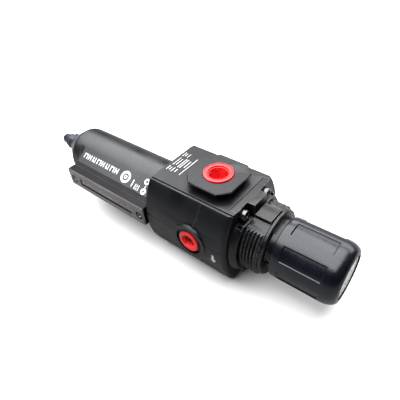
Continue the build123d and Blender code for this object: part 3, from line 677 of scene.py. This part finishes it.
PARTING_X = 20.5
PARTING_Z = 28.0
PARTING_ROUND = 0.45


def round_parting(shape: Shape) -> Shape:
    """Round the outer edges where body and bonnet meet.

    Args:
        shape: copy of the body or of the bonnet.

    Returns:
        The shape.
    """
    return shape.bevel(PARTING_ROUND, 60.0, 2,
                       lambda edge: all(abs(v.co.x - PARTING_X) < 0.02 and abs(v.co.z) > PARTING_Z
                                        for v in edge.verts))


Surface = Callable[[float, float, float], tuple[float, float, float]]


@dataclass
class Print:
    """Marks printed on a surface, as thin plates that follow it."""

    surface: Surface
    lift: float = 0.015
    skin: float = 0.03
    shape: Shape = field(default_factory=Shape)

    def _lay(self, flat: Shape) -> None:
        """Bend a flat plate on to the surface and add it.

        Args:
            flat: plate whose x and y are surface coordinates.
        """
        top = bmesh.ops.extrude_face_region(flat.bm, geom=flat.bm.faces[:])
        moved = [g for g in top["geom"] if isinstance(g, bmesh.types.BMVert)]
        bmesh.ops.translate(flat.bm, verts=moved, vec=(0, 0, self.skin))
        for vert in flat.bm.verts:
            vert.co = self.surface(vert.co.x, vert.co.y, vert.co.z + self.lift)
        bmesh.ops.recalc_face_normals(flat.bm, faces=flat.bm.faces[:])
        self.shape.join(flat)

    def bar(self, u: Point, v: Point, cells: tuple[int, int] = (1, 1)) -> None:
        """Print a rectangle.

        Args:
            u: its (low, high) along the first surface coordinate.
            v: its (low, high) along the second.
            cells: number of cells each way, for curved surfaces.
        """
        flat = Shape()
        bmesh.ops.create_grid(flat.bm, x_segments=cells[0], y_segments=cells[1], size=0.5)
        size = Matrix.Diagonal((u[1] - u[0], v[1] - v[0], 1.0, 1.0))
        flat.move(Matrix.Translation(((u[0] + u[1]) / 2, (v[0] + v[1]) / 2, 0.0)) @ size)
        self._lay(flat)

    def ring(self, centre: Point, outer: float, inner: float, steps: int = 32) -> None:
        """Print a ring, or a dot where the inner radius is 0.

        Args:
            centre: its centre on the surface.
            outer: its outer radius.
            inner: its inner radius.
            steps: number of its sides.
        """
        flat = Shape()
        if inner:
            edge = [flat.bm.verts.new((r, 0.0, 0.0)) for r in (inner, outer)]
            flat.bm.edges.new(edge)
            bmesh.ops.spin(flat.bm, geom=flat.bm.verts[:] + flat.bm.edges[:], cent=(0, 0, 0),
                           axis=(0, 0, 1), dvec=(0, 0, 0), angle=2 * math.pi, steps=steps, use_merge=True)
        else:
            bmesh.ops.create_circle(flat.bm, cap_ends=True, segments=steps, radius=outer)
        flat.move(Matrix.Translation((centre[0], centre[1], 0.0)))
        self._lay(flat)

    def wedge(self, tip: Point, base: Point, half: float) -> None:
        """Print a triangle.

        Args:
            tip: its point.
            base: middle of its base.
            half: half the width of its base, along the first coordinate.
        """
        flat = Shape()
        corners = ((tip[0], tip[1]), (base[0] - half, base[1]), (base[0] + half, base[1]))
        flat.bm.faces.new([flat.bm.verts.new((x, y, 0.0)) for x, y in corners])
        self._lay(flat)


# ---- sub-assemblies -----------------------------------------------------------------------------
@dataclass
class CastBody:
    """Cast body with its rib, its printed data block and its flow arrow."""

    half_height: float = 28.2
    shoulder_y: float = 21.8
    rim_z: float = 27.7
    middle_y: float = 30.2
    boss_top_z: float = 12.0
    rib_width: float = 2.0
    rib_height: float = 0.62
    rib_x: Point = (4.2, 1.2)
    arrow_x: float = 16.5
    arrow_z: Point = (-1.2, -8.6)
    arrow_head: float = 3.4
    arrow_head_half: float = 2.3
    arrow_stem_half: float = 0.8

    def bulge_y(self, z: float, lift: float = 0.0) -> float:
        """Distance of the bulged side from the middle plane at a height above the axis."""
        rise = self.middle_y - self.shoulder_y
        radius = (self.rim_z ** 2 + rise ** 2) / (2 * rise)
        return math.sqrt((radius + lift) ** 2 - z ** 2) - (radius - self.middle_y)

    def on_side(self, u: float, v: float, lift: float) -> tuple[float, float, float]:
        """Point of the gauge side from its x and its height above the axis."""
        return (u, -self.bulge_y(v, lift), v)

    def on_top(self, u: float, v: float, lift: float) -> tuple[float, float, float]:
        """Point of the flat top."""
        return (u, v, self.half_height + lift)

    def build(self, builder: Builder) -> None:
        """Build the body and what is on it.

        Args:
            builder: puts the pieces in the scene.
        """
        body = round_parting(Shape.copied("body"))
        builder.finish(body, "body_cast", "body_paint", "regulator_body", ["body"], rounding=0.22)
        builder.finish(self._rib(), "body_side_rib", "body_paint", "regulator_body")
        builder.finish(self._data_block(), "body_data_print", "label_print", "regulator_body",
                       finish="print_ink")
        builder.finish(self._flow_arrow(), "body_flow_arrow", "label_print", "regulator_body",
                       finish="print_ink")

    def _rib(self) -> Shape:
        """Low curved rib from the top edge of the gauge side to the boss.

        Returns:
            The shape.
        """
        rib = Shape()
        bmesh.ops.create_grid(rib.bm, x_segments=4, y_segments=24, size=0.5)
        low, high = self.boss_top_z - 0.4, self.rim_z - 0.3
        for vert in rib.bm.verts:
            share = vert.co.y + 0.5
            z = low + (high - low) * share
            middle = self.rib_x[1] + (self.rib_x[0] - self.rib_x[1]) * math.sin(share * math.pi / 2)
            across = vert.co.x * 2
            lift = self.rib_height * (1 - across ** 2) - 0.05
            vert.co = (middle + across * self.rib_width / 2, -self.bulge_y(z, lift), z)
        bmesh.ops.solidify(rib.bm, geom=rib.bm.faces[:], thickness=0.3)
        bmesh.ops.recalc_face_normals(rib.bm, faces=rib.bm.faces[:])
        return rib

    def _data_block(self) -> Shape:
        """Plain bars that stand for the printed data on the top face.

        Returns:
            The shape.
        """
        marks = Print(self.on_top)
        rule_x, word_gap = -25, 0.35
        for x, ends in ((-35.2, (7.2, 11.8)), (-33.6, (8.0, 11.0)), (-31.4, (7.6, 11.6)),
                        (-34.6, (-3.2, 5.4)), (-32.6, (-2.4, 4.6)), (-30.2, (-3.8, 6.2)),
                        (-28.6, (-3.8, 6.2)), (-26.2, (-2.0, 5.2)), (-34.9, (-9.2, -4.8)),
                        (-33.0, (-8.6, -5.4)), (-30.8, (-9.4, -5.0)), (-28.4, (-8.8, -5.4)),
                        (-24.0, (-9.4, 9.6))):
            rule = x > rule_x
            thick = 0.35 if rule else 0.5
            start = ends[0]
            while start < ends[1]:
                step = 1.1 + 0.5 * math.sin(7.0 * x + 3.0 * start)
                stop = min(start + step, ends[1])
                marks.bar((x - thick / 2, x + thick / 2), (start, stop))
                start = stop + (0.0 if rule else word_gap)
        return marks.shape

    def _flow_arrow(self) -> Shape:
        """Arrow that points from inlet to outlet on the gauge side.

        Returns:
            The shape.
        """
        marks = Print(self.on_side)
        start, end = self.arrow_z
        neck = end + self.arrow_head
        marks.bar((self.arrow_x - self.arrow_stem_half, self.arrow_x + self.arrow_stem_half),
                  (neck, start), (1, 4))
        marks.wedge((self.arrow_x, end), (self.arrow_x, neck), self.arrow_head_half)
        return marks.shape


@dataclass
class PortPlugs:
    """Red shipping plugs of the three closed ports."""

    port_to_port: float = 68.0
    gauge_x: float = -1.5
    gauge_face_y: float = 30.8
    gauge_spot: float = 1.4
    port_size: tuple[float, ...] = (9.4, 7.5, 1.8, 9.0)
    gauge_size: tuple[float, ...] = (7.4, 5.7, 1.7, 8.5)
    ribs: int = 6

    def plug(self, flange_r: float, stem_r: float, flange_t: float, depth: float) -> Shape:
        """Plug with its open mouth towards +X and its flange's underside at x = 0.

        Args:
            flange_r: radius of its flange.
            stem_r: radius of its stem.
            flange_t: thickness of its flange.
            depth: length of its stem.

        Returns:
            The shape.
        """
        mouth = stem_r - 1.0
        floor = stem_r - 2.0
        step = stem_r - 1.7
        shape = Shape.turned(
            [(-depth, 0.0), (-depth, stem_r), (0.0, stem_r), (0.0, flange_r), (flange_t, flange_r),
             (flange_t, mouth), (flange_t - 1.1, mouth - 0.1), (flange_t - 1.1, step + 0.1),
             (1.6 - depth, floor), (1.6 - depth, 0.0)], steps=72, corner=0.28)
        ribs = Shape()
        for turn in range(self.ribs):
            angle = math.radians(60 * turn + 15)
            bar = Shape()
            bmesh.ops.create_cube(bar.bm, size=1.0)
            length = depth + flange_t - 3.4
            bar.move(Matrix.Rotation(angle, 4, "X")
                     @ Matrix.Translation((1.4 - depth + length / 2, 0.0, step - 0.25))
                     @ Matrix.Diagonal((length, 0.7, 0.9, 1.0)))
            ribs.join(bar)
        return shape.join(ribs)

    def build(self, builder: Builder) -> None:
        """Build the three plugs.

        Args:
            builder: puts the pieces in the scene.
        """
        up = Matrix.Rotation(-math.pi / 2, 4, "Y")
        down = Matrix.Rotation(math.pi / 2, 4, "Y")
        out = Matrix.Rotation(-math.pi / 2, 4, "Z")
        rows = (
            ("inlet_plug_red", "inlet_port_plug", up, (0.0, 0.0, self.port_to_port - 1.0 - AXIS_Z),
             self.port_size),
            ("outlet_plug_red", "outlet_port_plug", down, (0.0, 0.0, 2.0 - AXIS_Z), self.port_size),
            ("gauge_plug_red", "front_gauge_plug", out,
             (self.gauge_x, self.gauge_spot - self.gauge_face_y, 0.0), self.gauge_size),
        )
        for name, node, turn, place, size in rows:
            shape = self.plug(*size).move(Matrix.Translation(place) @ turn)
            builder.finish(shape, name, "red_plastic", "regulator_body", [node])


@dataclass
class Bonnet:
    """Moulded bonnet with its collar, its panel thread and its four screws."""

    screw_y: float = 11.6
    screw_z: float = 23.2
    seat_x: float = 25.0
    head_r: float = 3.3
    head_h: float = 3.2
    shank_r: float = 1.95
    shank_l: float = 12.5
    socket_r: float = 1.7
    socket_floor: float = 1.4

    def screw(self) -> Shape:
        """Socket-head screw along the long axis, its seat at x = 0.

        Returns:
            The shape.
        """
        return Shape.turned(
            [(-self.shank_l, 0.0), (-self.shank_l, self.shank_r), (0.0, self.shank_r), (0.0, self.head_r),
             (self.head_h, self.head_r), (self.head_h, self.socket_r + 0.35),
             (self.head_h - 0.25, self.socket_r), (self.socket_floor, self.socket_r),
             (self.socket_floor, 0.0)], steps=36, corner=0.22)

    def build(self, builder: Builder) -> None:
        """Build the bonnet and its screws.

        Args:
            builder: puts the pieces in the scene.
        """
        moulding = round_parting(Shape.copied("bonnet"))
        builder.finish(moulding, "bonnet_moulding", "bonnet_plastic", "regulator_body", ["bonnet"],
                       rounding=0.2)
        screws = Shape()
        for y in (self.screw_y, -self.screw_y):
            for z in (self.screw_z, -self.screw_z):
                screws.join(self.screw().move(Matrix.Translation((self.seat_x, y, z))))
        builder.finish(screws, "bonnet_cap_screws", "screw_black", "regulator_body", ["bonnet_screws"])


@dataclass
class AdjustingKnob:
    """Knob with sunk panels between ribs, and the dial plate in its end."""

    skirt_x: float = 47.5
    radius: float = 19.15
    end_x: float = 87.0
    end_r: float = 14.6
    shoulder: float = 8.2
    dial_seat_x: float = 86.0
    dial_r: float = 13.6
    dial_thickness: float = 0.3
    panels: int = 7
    panel_x: Point = (52.7, 77.4)
    panel_first: float = 93.0
    panel_depth: float = 0.8
    columns: int = 24
    panel_columns: int = 14
    ticks: int = 24
    bare_ticks: tuple[int, int] = (8, 10)

    def _blank(self) -> Shape:
        """Turned blank of the knob, with edges where the panels end.

        Returns:
            The shape.
        """
        start = self.end_x - self.shoulder
        drop = self.radius - self.end_r
        arc = [(start + self.shoulder * math.sin(a), self.radius - drop * (1 - math.cos(a)))
               for a in (math.radians(6 * i) for i in range(1, 15))]
        low, high = self.panel_x
        profile = [(self.skirt_x, 17.4), (self.skirt_x, 18.5), (self.skirt_x + 0.15, 18.75),
                   (self.skirt_x + 0.6, 18.95), (self.skirt_x + 2.0, 19.05), (low - 0.6, self.radius),
                   (low, self.radius), (high, self.radius), (start, self.radius)]
        profile += arc
        lip, pocket_r = self.end_r - 0.2, self.dial_r + 0.1
        profile += [(self.end_x - 0.25, self.end_r + 0.05), (self.end_x, lip),
                    (self.end_x, lip - 0.5), (self.end_x - 0.15, pocket_r),
                    (self.dial_seat_x, pocket_r), (self.dial_seat_x, 0.0),
                    (79.5, 0.0), (79.5, 6.1), (62.6, 6.1), (62.6, 8.6), (82.0, 8.6), (82.0, 12.5),
                    (74.0, 17.4)]
        return Shape.turned(profile, steps=self.panels * self.columns)

    def _sink_panels(self, shape: Shape) -> None:
        """Sink the panels between the ribs.

        Args:
            shape: the blank.
        """
        half = 180.0 / self.panels * self.panel_columns / self.columns
        low, high = self.panel_x
        for turn in range(self.panels):
            middle = self.panel_first + 360.0 / self.panels * turn
            faces = []
            for face in shape.bm.faces:
                centre = face.calc_center_median()
                angle = math.degrees(math.atan2(centre.z, centre.y))
                gap = (angle - middle + 180.0) % 360.0 - 180.0
                outside = math.hypot(centre.y, centre.z) > self.radius - 0.5
                if outside and low < centre.x < high and abs(gap) < half:
                    faces.append(face)
            bmesh.ops.inset_region(shape.bm, faces=faces, thickness=0.28, depth=-self.panel_depth,
                                   use_even_offset=True, use_boundary=True)

    def build(self, builder: Builder) -> None:
        """Build the knob and its plate.

        Args:
            builder: puts the pieces in the scene.
        """
        knob = self._blank()
        self._turn_to_panels(knob)
        self._sink_panels(knob)
        knob.bevel(0.16, 28.0, 2, lambda e: all(self.panel_x[0] - 1 < v.co.x < self.panel_x[1] + 1
                                                and math.hypot(v.co.y, v.co.z) > self.radius - 1.2
                                                for v in e.verts))
        builder.finish(knob, "knob_ribbed", "knob_plastic", "knob_set", ["knob"], smooth=40.0)
        self._label(builder)

    def _turn_to_panels(self, shape: Shape) -> None:
        """Turn the blank so that its edges fall on the panels' sides."""
        half = 180.0 / self.panels * self.panel_columns / self.columns
        shape.move(Matrix.Rotation(math.radians(self.panel_first - half), 4, "X"))

    def _label(self, builder: Builder) -> None:
        """Build the dial plate with its printed rings.

        Args:
            builder: puts the pieces in the scene.
        """
        back, x, plate_r = self.dial_seat_x + 0.02, self.dial_seat_x + self.dial_thickness, self.dial_r
        plate = Shape.turned([(back, 0.0), (back, plate_r), (x, plate_r), (x, 0.0)], steps=96,
                             corner=0.05)
        builder.finish(plate, "knob_dial_plate", "label_print", "knob_set", ["knob_label"])

        def on_end(u: float, v: float, lift: float) -> tuple[float, float, float]:
            """Point of the plate's face."""
            return (x + lift, u, v)

        marks = Print(on_end)
        marks.ring((0.0, 0.0), plate_r - 0.4, plate_r - 0.9, 96)
        marks.ring((0.0, 0.0), 4.4, 4.0, 48)
        for turn in range(self.ticks):
            if self.bare_ticks[0] <= turn <= self.bare_ticks[1]:
                continue
            angle = math.radians(15 * turn)
            length = 1.6 if turn % 2 else 2.6
            tick = Print(lambda u, v, lift, a=angle: on_end(u * math.cos(a) - v * math.sin(a),
                                                            u * math.sin(a) + v * math.cos(a), lift))
            tick.bar((plate_r - 1.5 - length, plate_r - 1.5), (-0.22, 0.22))
            marks.shape.join(tick.shape)
        builder.finish(marks.shape, "knob_dial_print", "knob_plastic", "knob_set")


@dataclass
class Bowl:
    """Metal bowl with its printed marks."""

    radius: float = 18.97
    tangent: float = 124.9
    letters: int = 8
    word_x: Point = (-116.2, -76.4)
    word_s: Point = (4.9, 9.1)
    pad_y: float = -22.0
    shoulder_x: float = -131.0
    shoulder_round: float = 5.0
    end_x: Point = (-149.0, -124.0)
    end_r: float = 8.5
    lap: float = 0.5
    drain_hole_r: float = 4.2
    drain_seat: Point = (-145.0, 7.2)
    inside: Point = (-130.0, 16.2)
    pad_shade_normal_z: float = 0.9

    def on_flank(self, u: float, v: float, lift: float) -> tuple[float, float, float]:
        """Point of the flat flank above the sight glass, from x and the way down the flank."""
        y, z = polar(self.tangent, self.radius + lift)
        dy, dz = polar(self.tangent + 90.0, v)
        return (u, y + dy, z + dz)

    def build(self, builder: Builder) -> None:
        """Build the bowl and its marks.

        Args:
            builder: puts the pieces in the scene.
        """
        metal = builder.finish(self._casting(), "bowl_metal", "bowl_paint", "bowl_set", ["bowl"],
                               rounding=0.3)
        # painted shade: up-facing faces of the gauge-side pad take the darker, duller frame paint
        metal.data.materials.append(builder.wardrobe.get("frame_paint"))
        for face in metal.data.polygons:
            if face.normal.z > self.pad_shade_normal_z and face.center.y < self.pad_y * MM:
                face.material_index = 1
        builder.finish(self._marks(), "bowl_print", "label_print", "bowl_set", finish="print_ink")

    def _casting(self) -> Shape:
        """Bowl whose end is turned anew as a longer, rounder cone.

        Returns:
            The shape.
        """
        bowl = Shape.copied("bowl")
        geometry = bowl.bm.verts[:] + bowl.bm.edges[:] + bowl.bm.faces[:]
        bmesh.ops.bisect_plane(bowl.bm, geom=geometry, dist=0.001, plane_co=(self.end_x[1], 0, 0),
                               plane_no=(-1, 0, 0), clear_outer=True)
        bmesh.ops.bridge_loops(bowl.bm, edges=[e for e in bowl.bm.edges if e.is_boundary])
        start, stop = self.end_x[1] + self.lap, self.end_x[0]
        turn, hole = self.shoulder_round, self.drain_hole_r
        arc = [(self.shoulder_x - turn * math.sin(a), self.radius - turn * (1 - math.cos(a)))
               for a in (math.radians(6 * i) for i in range(6))]
        profile = [(start, self.radius)] + arc
        profile += [(stop + 0.3, 8.8), (stop, self.end_r), (stop, hole), (self.drain_seat[0], hole),
                    self.drain_seat, self.inside, (start, self.inside[1])]
        return bowl.join(Shape.turned(profile, steps=144))

    def _marks(self) -> Shape:
        """A row of plain blocks, a ring mark, and the lock and unlock marks.

        Returns:
            The shape.
        """
        marks = Print(self.on_flank)
        start, stop = self.word_x
        pitch = (stop - start) / self.letters
        low, high = self.word_s
        for index in range(self.letters):
            x = start + pitch * index
            width = pitch * (0.66 if index % 3 else 0.8)
            marks.bar((x, x + 1.0), (low, high))
            marks.bar((x + width - 0.9, x + width), (low, high))
            middle = low + (high - low) * (0.15, 0.5, 0.85)[index % 3]
            marks.bar((x + 1.0, x + width - 0.9), (middle - 0.4, middle + 0.4))
        marks.ring((-69.6, 7.6), 4.5, 2.7, 40)
        marks.ring((-69.6, 7.6), 1.5, 0.7, 28)
        marks.bar((-61.9, -60.9), (6.6, 11.9))
        marks.bar((-58.6, -57.8), (8.6, 12.6))
        marks.bar((-56.8, -56.2), (8.6, 10.4))
        marks.bar((-56.8, -56.2), (11.0, 12.6))
        marks.bar((-55.2, -54.6), (8.6, 12.6))
        marks.ring((-50.6, 4.0), 2.3, 1.0, 28)
        marks.bar((-50.4, -49.7), (6.8, 8.6))
        marks.ring((-49.8, 11.2), 2.3, 0.8, 28)
        return marks.shape


@dataclass
class SightGlass:
    """Sight glass, its frame and its screws."""

    face_y: float = 32.3
    screw_x: Point = (-113.2, -43.2)
    painted_light_normal_y: float = -0.6

    def build(self, builder: Builder) -> None:
        """Build the frame and the screws.

        Args:
            builder: puts the pieces in the scene.
        """
        cover = builder.finish(Shape.copied("sight_frame"), "sight_frame_metal", "frame_paint",
                               "bowl_set", ["sight_frame"], rounding=0.22)
        # painted light: the frame's faces that look towards -Y take the lighter frame_face finish
        cover.data.materials.append(builder.wardrobe.get("frame_face"))
        for face in cover.data.polygons:
            if face.normal.y < self.painted_light_normal_y:
                face.material_index = 1
        screws = Shape()
        for x in self.screw_x:
            screws.join(self._screw().move(Matrix.Translation((x, -self.face_y, 0.0))
                                           @ Matrix.Rotation(-math.pi / 2, 4, "Z")))
        builder.finish(screws, "sight_pan_screws", "screw_black", "bowl_set", ["sight_screws"])

    @staticmethod
    def _screw() -> Shape:
        """Pan-head screw whose head's top is at x = 0 and whose shank runs to -X.

        Returns:
            The shape.
        """
        return Shape.turned(
            [(-12.0, 0.0), (-12.0, 1.5), (-1.3, 1.5), (-1.3, 2.7), (-0.5, 2.65), (-0.12, 2.1),
             (0.0, 1.35), (-0.8, 1.1), (-0.8, 0.0)], steps=32, corner=0.1, segments=2)


@dataclass
class Drain:
    """Drain fitting and its fluted knob with the hose nipple."""

    def build(self, builder: Builder) -> None:
        """Build the drain's outer pieces.

        Args:
            builder: puts the pieces in the scene.
        """
        builder.finish(Shape.copied("drain_body"), "drain_hexagon", "drain_plastic", "bowl_set",
                       ["drain_body"], rounding=0.2)
        builder.finish(Shape.copied("drain_knob"), "drain_fluted_knob", "drain_plastic",
                       "drain_knob_set", ["drain_knob"], rounding=0.12)


@dataclass
class Springs:
    """Coil springs, copied from the imported pieces."""

    button_travel: float = 7.5
    valve_travel: float = 1.5

    def build(self, builder: Builder) -> None:
        """Build both springs.

        Args:
            builder: puts the pieces in the scene.
        """
        self._coil(builder, "regulating_spring", "button_travel", self.button_travel)
        self._coil(builder, "valve_spring", "valve_travel", self.valve_travel)

    @staticmethod
    def _coil(builder: Builder, node: str, joint: str, travel: float) -> None:
        """Build a spring as a copy of its imported piece.

        Args:
            builder: puts the pieces in the scene.
            node: packed spring that it stands for.
            joint: not used.
            travel: not used.
        """
        shape = Shape.copied(node)
        coil = builder.finish(shape, f"{node}_coil", "spring_steel", "regulator_body", [node])
        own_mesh(coil)


def dress_frame(wardrobe: Wardrobe) -> None:
    """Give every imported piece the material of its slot.

    Args:
        wardrobe: the finishes.
    """
    for row in frame["record"]["subparts"]:
        piece = frame["nodes"][row["node"]]
        piece.data.materials.clear()
        piece.data.materials.append(wardrobe.get(row["material_slot"]))


def main() -> None:
    """Build the stage and the looks, in order."""
    logging.basicConfig(level=logging.INFO, format="%(message)s")
    wardrobe = Wardrobe()
    Studio().build()
    dress_frame(wardrobe)
    builder = Builder(wardrobe)
    for assembly in (CastBody(), PortPlugs(), Bonnet(), AdjustingKnob(), Bowl(), SightGlass(), Drain(),
                     Springs()):
        LOG.info("sub-assembly %s", type(assembly).__name__)
        assembly.build(builder)


if __name__ == "__main__":
    main()
